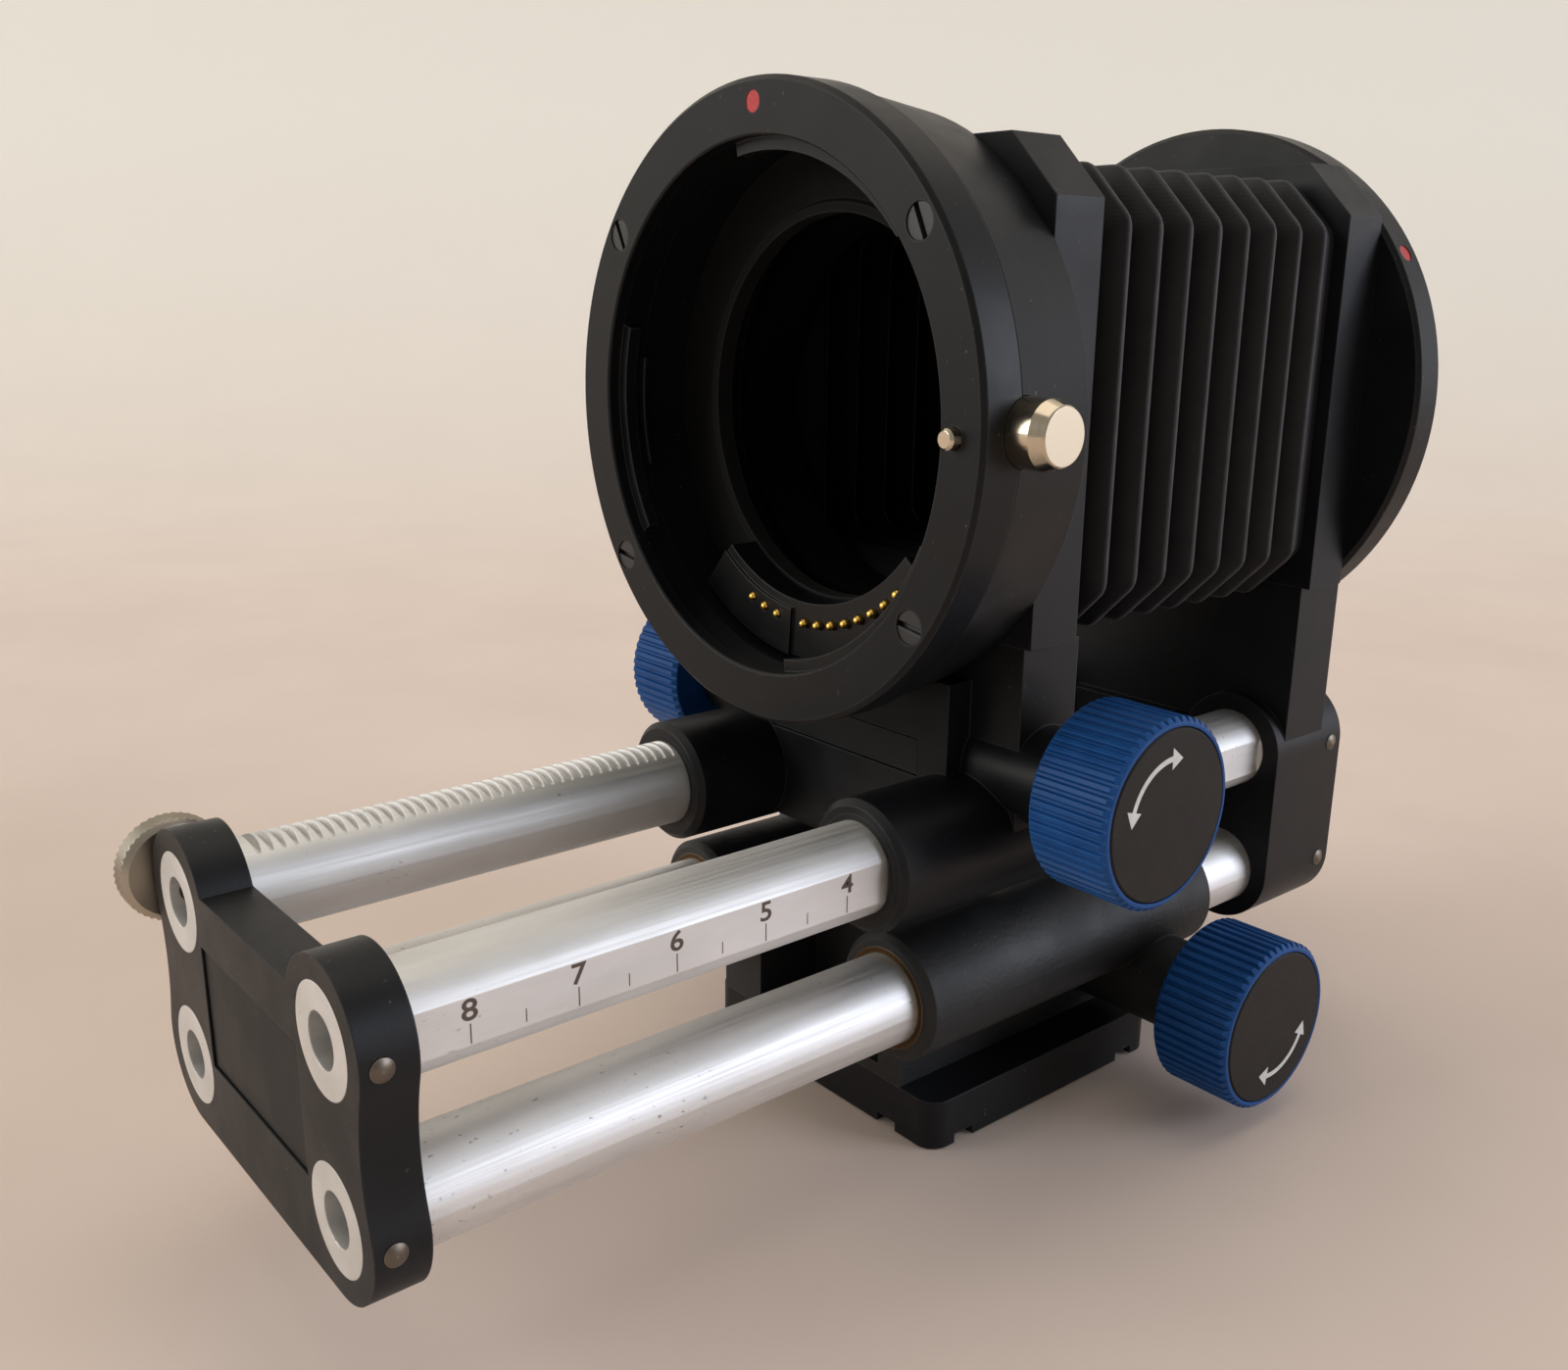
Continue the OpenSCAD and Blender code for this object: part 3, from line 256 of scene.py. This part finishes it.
def cloth_finish():
    """Rubberised bellows cloth: matte, a fine weave, painted shade in the folds and on the inner
    side, ridges paler from rub wear and a painted highlight.
    """
    thread_mm = 0.45  # pitch of the weave, drawn coarser than real threads so that it shows
    fold_shade_darkest_at, fold_shade_gone_at = (bellows_half - 4.0) * MM, (bellows_half - 0.5) * MM
    dull_at, shiny_at = (bellows_half - 4.2) * MM, (bellows_half - 0.3) * MM
    worn_ridge_highlight_starts_at, worn_ridge_highlight_full_at = (bellows_half - 0.32) * MM, (bellows_half - 0.04) * MM
    inner_side, outer_side = -0.5 * MM, 0.5 * MM
    material, tree, shader, place = surface("rubberised_bellows_cloth", "#19191b", 0.0, 0.62,
                                            Specular_IOR_Level=0.3, Sheen_Weight=0.02,
                                            Sheen_Roughness=0.5)
    weave = [add(tree, "TexWave", {"Vector": place}, bands_direction=direction,
                 Scale=math.pi / (10 * thread_mm * MM), Distortion=0.4, Detail=1.0,
                 Detail_Scale=2.0).outputs["Fac"] for direction in ("Y", "Z")]
    crossed = calc(tree, "MULTIPLY", weave[0], weave[1])
    from_axis = add(tree, "Mapping", {"Vector": place}, Location=(0, 0, -bellows_z * MM),
                    Scale=(1.0, 0.0, 1.0)).outputs[0]

    # how far out a point lies on the chamfered square, in metres: the same all round one fold
    quarter = add(tree, "VectorMath", {0: from_axis}, operation="ABSOLUTE").outputs[0]
    across = add(tree, "SeparateXYZ", {0: quarter}).outputs
    side = calc(tree, "MAXIMUM", across["X"], across["Z"])
    both = calc(tree, "ADD", across["X"], across["Z"])
    corner = calc(tree, "MULTIPLY", both, bellows_half / (2 * bellows_half - bellows_chamfer))
    reach = calc(tree, "MAXIMUM", side, corner)

    body = tinted(tree, grain(tree, place, 6.0, detail=4.0), "#1a1a1c", "#232326", 0.3, 0.7)
    # painted shade: the deeper a point lies in a fold, the darker it is drawn
    shaded = tinted(tree, reach, "#060607", body, fold_shade_darkest_at, fold_shade_gone_at)
    # the ridges are drawn paler: rub wear of the cloth, and a painted highlight
    worn_and_highlit = tinted(tree, grain(tree, place, 2.5, detail=3.0), "#303033", "#424246", 0.3, 0.75)
    outside = tinted(tree, reach, shaded, worn_and_highlit, worn_ridge_highlight_starts_at, worn_ridge_highlight_full_at)
    facing = add(tree, "NewGeometry").outputs["Normal"]
    outward = add(tree, "VectorMath", {0: from_axis, 1: facing},
                  operation="DOT_PRODUCT").outputs["Value"]
    # painted shade: the inner side of the sleeve is drawn near black
    give(tree, shader.inputs["Base Color"],
         tinted(tree, outward, "#060607", outside, inner_side, outer_side))

    # the crests are handled and shine a little, the depths and the flocked inner side don't
    lustre = ramp(tree, reach, dull_at, shiny_at, 0.02, 0.36)
    give(tree, shader.inputs["Specular IOR Level"],
         ramp(tree, outward, inner_side, outer_side, 0.04, lustre))
    relief(tree, shader, crossed, 0.015)
    return material


def cap_finish():
    """Printed vinyl disc: a very fine orange-peel grain, a dull sheen."""
    material, tree, shader, place = surface("black_vinyl_disc", "#1b1817", 0.0, 0.52,
                                            Specular_IOR_Level=0.22)
    peel = grain(tree, place, 0.25, detail=2.0)
    give(tree, shader.inputs["Base Color"],
         tinted(tree, grain(tree, place, 3.0), "#1b1817", "#201d1b"))
    give(tree, shader.inputs["Roughness"], ramp(tree, peel, *NOISE_RANGE, 0.44, 0.54))
    relief(tree, shader, peel, 0.004, edge_mm=0.1)
    return material


def filled_paint(name, colour, shade, roughness):
    """Paint filled into an engraved dot or line: slightly uneven where the brush left it."""
    material, tree, shader, place = surface(name, colour, 0.0, roughness)
    brush = grain(tree, place, 0.6, detail=3.0)
    give(tree, shader.inputs["Base Color"], tinted(tree, brush, colour, shade, 0.35, 0.8))
    relief(tree, shader, brush, 0.015, edge_mm=0.1)
    return material


housing_black = black_finish("black_anodised_blasted_aluminium", "#101114", "#17181b",
                             roughness=0.42, grain_mm=0.35)
mount_black = black_finish("black_anodised_turned_aluminium", "#101113", "#151618",
                           roughness=0.38, grain_mm=0.40, shine=0.2, worn_and_highlit=0.6)
carriage_black = black_finish("black_textured_lacquer_on_casting", "#151617", "#1e1f21",
                              roughness=0.56, grain_mm=0.55, depth_mm=0.06, shine=0.4)
standard_black = black_finish("black_anodised_light_path_painted_and_shaded", "#101114", "#17181b",
                              roughness=0.42, grain_mm=0.35, light_path=True)
plate_black = black_finish("black_lacquered_label_plate", "#1a1a1b", "#202021",
                           roughness=0.50, grain_mm=0.30, dusty=False)
baffle_black = black_finish("matt_black_baffle_paint", "#070707", "#0c0c0c",
                            roughness=0.80, grain_mm=0.35, dusty=False)
liner_black = black_finish("black_acetal_liner", "#111214", "#18191b",
                           roughness=0.50, grain_mm=0.6, dusty=False)
contact_black = black_finish("black_moulded_polycarbonate", "#0c0c0d", "#121213",
                             roughness=0.34, grain_mm=0.8, dusty=False)
screw_black = black_finish("blackened_steel", "#1c1c1d", "#2a2a2b",
                           roughness=0.34, grain_mm=0.4, dusty=False, shine=0.5)
rod_aluminium = rod_finish()
knob_blue = knob_finish()
cap_vinyl = cap_finish()
bellows_cloth = cloth_finish()
nickel = turned_metal("nickel_plated_brass", "#cfc2ac", roughness=0.16, ring_mm=0.35,
                      centre=(0, -24.3, 81.6), plane=(0, 1, 1), face_roughness=0.5)
screw_nickel = turned_metal("nickel_plated_steel", "#b3aa9c", roughness=0.34, ring_mm=0.4,
                            centre=(0, clamp_screw_y, upper_z), plane=(0, 1, 1))
bayonet_chrome = turned_metal("satin_chromed_brass", "#c9c6c0", roughness=0.24, ring_mm=0.5,
                              centre=(0, 0, axis_z))
turned_steel = turned_metal("turned_steel", "#8e8b86", roughness=0.30, ring_mm=0.4)
set_screw_steel = turned_metal("browned_steel", "#6f675e", roughness=0.38, ring_mm=0.4)
bronze = turned_metal("oiled_bronze", "#4f3a20", roughness=0.45, ring_mm=0.5)
gold = turned_metal("gold_plated_bronze", "#ffcf66", roughness=0.30, ring_mm=0.3)
red_enamel = filled_paint("red_enamel", "#c4161c", "#9c1016", roughness=0.35)
scale_ink = filled_paint("brown_grey_engraving_ink", "#4e4038", "#5d4e45", roughness=0.55)
white_ink = filled_paint("white_printing_ink", "#d9d9d6", "#c4c4c0", roughness=0.50)

SLOT_FINISH = {
    "housing_black": housing_black, "mount_black": mount_black, "baffle_black": baffle_black,
    "plate_black": plate_black, "liner_black": liner_black, "contact_plastic": contact_black,
    "screw_black": screw_black, "rod_aluminium": rod_aluminium, "knob_blue": knob_blue,
    "knob_cap": cap_vinyl, "bellows_cloth": bellows_cloth, "nickel": nickel,
    "steel": turned_steel, "bronze": bronze, "gold": gold, "red_dot": red_enamel,
}
# nodes that differ from the rest of their slot
NODE_FINISH = {
    "camera_bayonet": bayonet_chrome, "bayonet_screws": bayonet_chrome,
    "end_plate_screws": set_screw_steel, "camera_standard_screws": set_screw_steel,
    "carriage_body": carriage_black, "mount_leaf_springs": screw_black,
    "lens_standard": standard_black, "camera_standard": standard_black,
}
slot_of = {part["node"]: part["material_slot"] for part in frame["record"]["subparts"]}
for name, piece in frame["nodes"].items():
    piece.data.materials.clear()
    piece.data.materials.append(NODE_FINISH.get(name, SLOT_FINISH[slot_of[name]]))


# ---------------------------------------------------------------- pieces made here

def make_mesh(name, points, faces, finish, smooth_under=None):
    """A new piece from points in mm; edges that turn less than smooth_under degrees are smooth."""
    mesh = bpy.data.meshes.new(name)
    mesh.from_pydata([[c * MM for c in p] for p in points], [], faces)
    mesh.validate()
    piece = bpy.data.objects.new(name, mesh)
    bpy.context.scene.collection.objects.link(piece)
    mesh.materials.append(finish)
    if smooth_under is not None:
        mesh.polygons.foreach_set("use_smooth", [True] * len(mesh.polygons))
        mesh.set_sharp_from_angle(angle=math.radians(smooth_under))
    return piece


def bellows_stations():
    """Stations along the bellows: y and how far the skin is drawn in from the ridge line, in mm."""
    collar_in, fold_r = 2.4, 0.42
    glued_in, end_in = 0.9, 0.8
    pitch = (bellows_back - bellows_front - front_collar - rear_collar) / pleats
    lean = math.atan2(pleat_depth, pitch / 2)
    stations = [(bellows_front, collar_in)]
    for k in range(2 * pleats):
        y = bellows_front + front_collar + k * pitch / 2
        # each fold is rounded, as cloth over a card stiffener is
        for share in (-1.0, -0.5, 0.0, 0.5, 1.0):
            drop = fold_r * (1 - math.cos(share * lean))
            inward = pleat_depth - drop if k % 2 == 0 else drop
            stations.append((y + fold_r * math.sin(share * lean), inward))
    # the last half fold is shallow and glued to the camera standard
    return stations + [(bellows_back - rear_collar, glued_in), (bellows_back, end_in)]


def bellows_outline(inward, thickness=0.0):
    """One ring of the bellows, in X and Z about its centre: a chamfered square with soft turns."""
    keeps_parallel = 0.586  # 2 - sqrt(2): the chamfer moves in as far as the sides do
    ease_mm = 1.1
    half = bellows_half - inward - thickness
    flat = half - bellows_chamfer + (inward + thickness) * keeps_parallel
    turns = [(half, flat), (flat, half), (-flat, half), (-half, flat),
             (-half, -flat), (-flat, -half), (flat, -half), (half, -flat)]
    ring = []
    for i, (x, z) in enumerate(turns):
        before, after = turns[i - 1], turns[(i + 1) % len(turns)]
        ease = [ease_mm / math.dist((x, z), other) for other in (before, after)]
        for share in (0.0, 1 / 3, 2 / 3, 1.0):
            back, on = (1 - share) ** 2 * ease[0], share ** 2 * ease[1]
            ring.append((x + back * (before[0] - x) + on * (after[0] - x),
                         z + back * (before[1] - z) + on * (after[1] - z)))
    return ring


def make_bellows():
    """The pleated skin: a closed sleeve whose inner wall lies 0.8 mm further in all the way."""
    thickness = 0.8
    stations = bellows_stations()
    outer = [bellows_outline(inward) for _, inward in stations]
    inner = [bellows_outline(inward, thickness) for _, inward in stations]
    points = [(x, y, bellows_z + z) for rings in (outer, inner)
              for (y, _), ring in zip(stations, rings) for x, z in ring]
    n, count = len(outer[0]), len(stations)
    faces = []
    for i in range(count - 1):
        for j in range(n):
            a, b = i * n + j, i * n + (j + 1) % n
            faces.append((a, a + n, b + n, b))
            c, d = (count + i) * n + j, (count + i) * n + (j + 1) % n
            faces.append((c, d, d + n, c + n))
    for j in range(n):
        a, b = j, (j + 1) % n
        faces.append((a, b, count * n + b, count * n + a))
        a, b = (count - 1) * n + j, (count - 1) * n + (j + 1) % n
        faces.append((a, count * n + a, count * n + b, b))
    skin = make_mesh("bellows_skin", points, faces, bellows_cloth, smooth_under=50)
    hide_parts("bellows")
    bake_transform(skin)


def make_number(unit, y, face_x):
    """One engraved number of the scale, upright on the rod's flat and centred on y."""
    size, thicken, extrude, widen, baseline = 2.7, 0.045, 0.03, 1.15, upper_z + 0.15
    text = bpy.data.curves.new(f"scale_number_{unit}", "FONT")
    text.body = str(unit)
    text.size = size * MM
    text.offset = thicken * MM
    text.align_x = "CENTER"
    text.extrude = extrude * MM
    holder = bpy.data.objects.new("holder", text)
    bpy.context.scene.collection.objects.link(holder)
    bpy.context.view_layer.update()
    solid = holder.evaluated_get(bpy.context.evaluated_depsgraph_get())
    mesh = bpy.data.meshes.new_from_object(solid)
    bpy.data.objects.remove(holder)
    # the text's own X runs along the rod, its Y up, its Z out of the flat
    mesh.transform(Matrix(((0, 0, 1, (face_x - extrude) * MM), (widen, 0, 0, y * MM),
                           (0, 1, 0, baseline * MM), (0, 0, 0, 1))))
    mesh.materials.clear()
    mesh.materials.append(scale_ink)
    number = bpy.data.objects.new(f"scale_number_{unit}", mesh)
    bpy.context.scene.collection.objects.link(number)
    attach(number, "rail")


def make_scale():
    """The centimetre scale on the flat of the upper right rod: numbers 4 to 8, and ticks."""
    first, last, per_unit, first_y = 4, 8, 10.26, -34.9
    sunk_x, face_x = scale_flat_x - 0.05, scale_flat_x + 0.012
    unit_half, unit_low, unit_high = 0.06, 2.0, 0.2  # a tick's half width, its ends below the axis
    part_half, part_low, part_high = 0.05, 1.75, 0.55
    points, faces = [], []

    def tick(y, half, low, high):
        start = len(points)
        y0, y1, z0, z1 = y - half, y + half, upper_z - low, upper_z - high
        for x in (sunk_x, face_x):
            points.extend([(x, y0, z0), (x, y1, z0), (x, y1, z1), (x, y0, z1)])
        for quad in ((4, 5, 6, 7), (3, 2, 1, 0), (0, 1, 5, 4), (1, 2, 6, 5), (2, 3, 7, 6),
                     (3, 0, 4, 7)):
            faces.append(tuple(start + q for q in quad))

    for unit in range(first, last + 1):
        y = first_y - per_unit * (unit - first)
        tick(y, unit_half, unit_low, unit_high)
        if unit < last:
            tick(y - per_unit / 2, part_half, part_low, part_high)
        make_number(unit, y, face_x)
    ticks = make_mesh("scale_ticks", points, faces, scale_ink)
    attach(ticks, "rail")


def make_turn_arrow(name, body, side, shaft, middle, sweep=104, both=True):
    """A white curved arrow printed on a knob's disc; middle and sweep are degrees from +Y to +Z."""
    radius, half, barb, steps = 6.0, 0.30, 1.15, 28
    sunk, lift = 0.02, 0.03
    head = 16  # degrees taken by an arrowhead
    start, end = middle - sweep / 2, middle + sweep / 2
    line_start, line_end = start + (head if both else 0), end - head

    def polar(r, degrees):
        return r * math.cos(math.radians(degrees)), r * math.sin(math.radians(degrees))

    def arc(r, first, last):
        return [polar(r, first + (last - first) * i / steps) for i in range(steps + 1)]

    outline = arc(radius + half, line_start, line_end)
    outline += [polar(radius + barb, line_end), polar(radius, end), polar(radius - barb, line_end)]
    outline += arc(radius - half, line_end, line_start)
    if both:
        outline += [polar(radius - barb, line_start), polar(radius, start),
                    polar(radius + barb, line_start)]
    n = len(outline)
    points = [(x, shaft[0] + u, shaft[1] + v)
              for x in (side * (cap_face_x - sunk), side * (cap_face_x + lift)) for u, v in outline]
    forward, backward = range(n), range(n - 1, -1, -1)
    below, above = (forward, backward) if side < 0 else (backward, forward)
    faces = [tuple(below), tuple(n + i for i in above)]
    for i in range(n):
        j = (i + 1) % n
        faces.append((i, j, n + j, n + i) if side > 0 else (j, i, n + i, n + j))
    arrow = make_mesh(name, points, faces, white_ink)
    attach(arrow, body)


def make_clamp_screw():
    """The clamp screw at the end plate: a head with a diamond knurl of 44 ridges, and its shank."""
    inner_x, outer_x, radius, shank_r = -25.0, -28.0, 5.5, 1.5
    ridges, knurl_rows, knurl_depth, knurl_inset = 44, 7, 0.22, 0.5
    n = 2 * ridges
    points, faces, rows = [], [], []

    def ring(x, r_of):
        rows.append(len(points))
        for j in range(n):
            a = math.pi * j / ridges
            r = r_of(j)
            points.append((x, clamp_screw_y + r * math.cos(a), upper_z + r * math.sin(a)))

    # x and radius: the shank with its chamfered tip, then the head's rounded inner edge
    for x, r in ((inner_x + 5.3, shank_r - 0.3), (inner_x + 5.0, shank_r), (inner_x, shank_r),
                 (inner_x, radius - 0.75), (inner_x - 0.12, radius - 0.55),
                 (inner_x - 0.35, radius - 0.25)):
        ring(x, lambda j, r=r: r)
    knurl_width = abs(outer_x - inner_x) - 2 * knurl_inset
    for k in range(knurl_rows):
        x = inner_x - knurl_inset - k * knurl_width / (knurl_rows - 1)
        ring(x, lambda j, k=k: radius - (0.0 if (j + k) % 2 == 0 else knurl_depth))
    # the head's rounded outer edge, its face and the turning centre in it
    for x, r in ((outer_x + 0.35, radius - 0.25), (outer_x + 0.12, radius - 0.55),
                 (outer_x, radius - 0.75), (outer_x, 1.6), (outer_x + 0.25, 1.2)):
        ring(x, lambda j, r=r: r)
    for a, b in zip(rows, rows[1:]):
        for j in range(n):
            faces.append((a + j, a + (j + 1) % n, b + (j + 1) % n, b + j))
    faces.append(tuple(range(rows[0] + n - 1, rows[0] - 1, -1)))
    faces.append(tuple(range(rows[-1], rows[-1] + n)))
    screw = make_mesh("clamp_screw", points, faces, screw_nickel, smooth_under=22)
    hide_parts("rod_clamp_screw")
    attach(screw, "rod_clamp_screw")


make_bellows()
make_scale()
make_clamp_screw()
make_turn_arrow("upper_drive_arrow", "upper_drive", 1, upper_shaft, 128)
make_turn_arrow("lower_drive_arrow", "lower_drive", 1, lower_shaft, -62)
make_turn_arrow("upper_lock_arrow", "upper_lock", -1, upper_shaft, 90, both=False)
make_turn_arrow("lower_lock_arrow", "lower_lock", -1, lower_shaft, 90, both=False)


# ---------------------------------------------------------------- floor, light, camera, in metres

def make_backdrop():
    """A pale matte table that runs up in one wide curve into a pale wall behind the object."""
    away = Vector((-0.766, 0.643, 0.0))  # level direction from the camera past the object
    across = Vector((0.643, 0.766, 0.0))
    front, bend_start, bend_radius, wall_top, half_width = -2.0, 0.38, 0.55, 2.2, 3.0
    bend_steps, below_object = 24, 0.0002
    wall_starts, wall_full = 0.22, 0.80  # where the table's tone turns into the wall's
    profile = [(front, 0.0)]
    for step in range(bend_steps + 1):
        turn = math.radians(90 * step / bend_steps)
        profile.append((bend_start + bend_radius * math.sin(turn),
                        bend_radius * (1 - math.cos(turn))))
    profile.append((bend_start + bend_radius, wall_top))
    points = [away * u + across * side * half_width + Vector((0, 0, z))
              for side in (-1, 1) for u, z in profile]
    count = len(profile)
    faces = [(i, i + 1, count + i + 1, count + i) for i in range(count - 1)]
    mesh = bpy.data.meshes.new("backdrop")
    mesh.from_pydata(points, [], faces)
    mesh.polygons.foreach_set("use_smooth", [True] * len(mesh.polygons))
    backdrop = bpy.data.objects.new("backdrop", mesh)
    bpy.context.scene.collection.objects.link(backdrop)
    backdrop.location.z = -below_object
    material, tree, shader, place = surface("matte_table_laminate", "#deccc1", 0.0, 0.80)
    table = tinted(tree, grain(tree, place, 60.0), "#dccabf", "#e1cfc4")
    depth = add(tree, "VectorMath", {0: place}, operation="DOT_PRODUCT",
                in1=tuple(away)).outputs["Value"]
    give(tree, shader.inputs["Base Color"],
         tinted(tree, depth, table, "#ebe7df", wall_starts, wall_full))
    mesh.materials.append(material)


def make_lamp(name, location, target, size, power, colour):
    """A soft square lamp, its side size in metres and its power in watts, aimed at target."""
    light = bpy.data.lights.new(name, "AREA")
    light.size = size
    light.energy = power
    light.color = linear(colour)[:3]
    lamp = bpy.data.objects.new(name, light)
    bpy.context.scene.collection.objects.link(lamp)
    lamp.location = location
    lamp.rotation_mode = "QUATERNION"
    lamp.rotation_quaternion = (Vector(target) - Vector(location)).to_track_quat("-Z", "Y")


def make_world(colour, strength):
    """An even pale room round the table."""
    world = bpy.data.worlds.new("room")
    bpy.context.scene.world = world
    world.use_nodes = True
    background = next(n for n in world.node_tree.nodes if n.type == "BACKGROUND")
    background.inputs["Color"].default_value = linear(colour)
    background.inputs["Strength"].default_value = strength


def make_camera():
    """The photograph's camera: solved from the rods, the straight edges and the three circles."""
    azimuth, elevation, roll = math.radians(49.99), math.radians(16.07), math.radians(0.62)
    position = Vector((119.33, -124.12, 94.13)) * MM
    back = Vector((math.sin(azimuth) * math.cos(elevation),
                   -math.cos(azimuth) * math.cos(elevation), math.sin(elevation)))
    right = Vector((math.cos(azimuth), math.sin(azimuth), 0))
    up = back.cross(right)
    across = math.cos(roll) * right + math.sin(roll) * up
    upward = -math.sin(roll) * right + math.cos(roll) * up
    lens = bpy.data.cameras.new("camera")
    lens.sensor_width = 36.0
    lens.lens = 33.315
    lens.shift_x, lens.shift_y = -0.00605, 0.0109
    lens.clip_start, lens.clip_end = 0.005, 50.0
    camera = bpy.data.objects.new("camera", lens)
    bpy.context.scene.collection.objects.link(camera)
    turned = Matrix((across, upward, back)).transposed().to_4x4()
    camera.matrix_world = Matrix.Translation(position) @ turned
    bpy.context.scene.camera = camera


make_backdrop()
make_world(colour="#fbf7ee", strength=0.34)
make_lamp("window", location=(3.0, 2.4, 1.1), target=(0, -0.01, 0.06), size=2.2, power=85.0,
          colour="#e8efff")
make_lamp("ceiling", location=(-0.3, 0.2, 1.9), target=(0, 0.1, 0), size=1.8, power=11.3,
          colour="#fff5e6")
make_lamp("room_fill", location=(-1.5, -2.6, 1.2), target=(0, -0.05, 0.05), size=2.0, power=47.0,
          colour="#fffefa")
make_camera()

bpy.context.scene.view_settings.view_transform = "Standard"
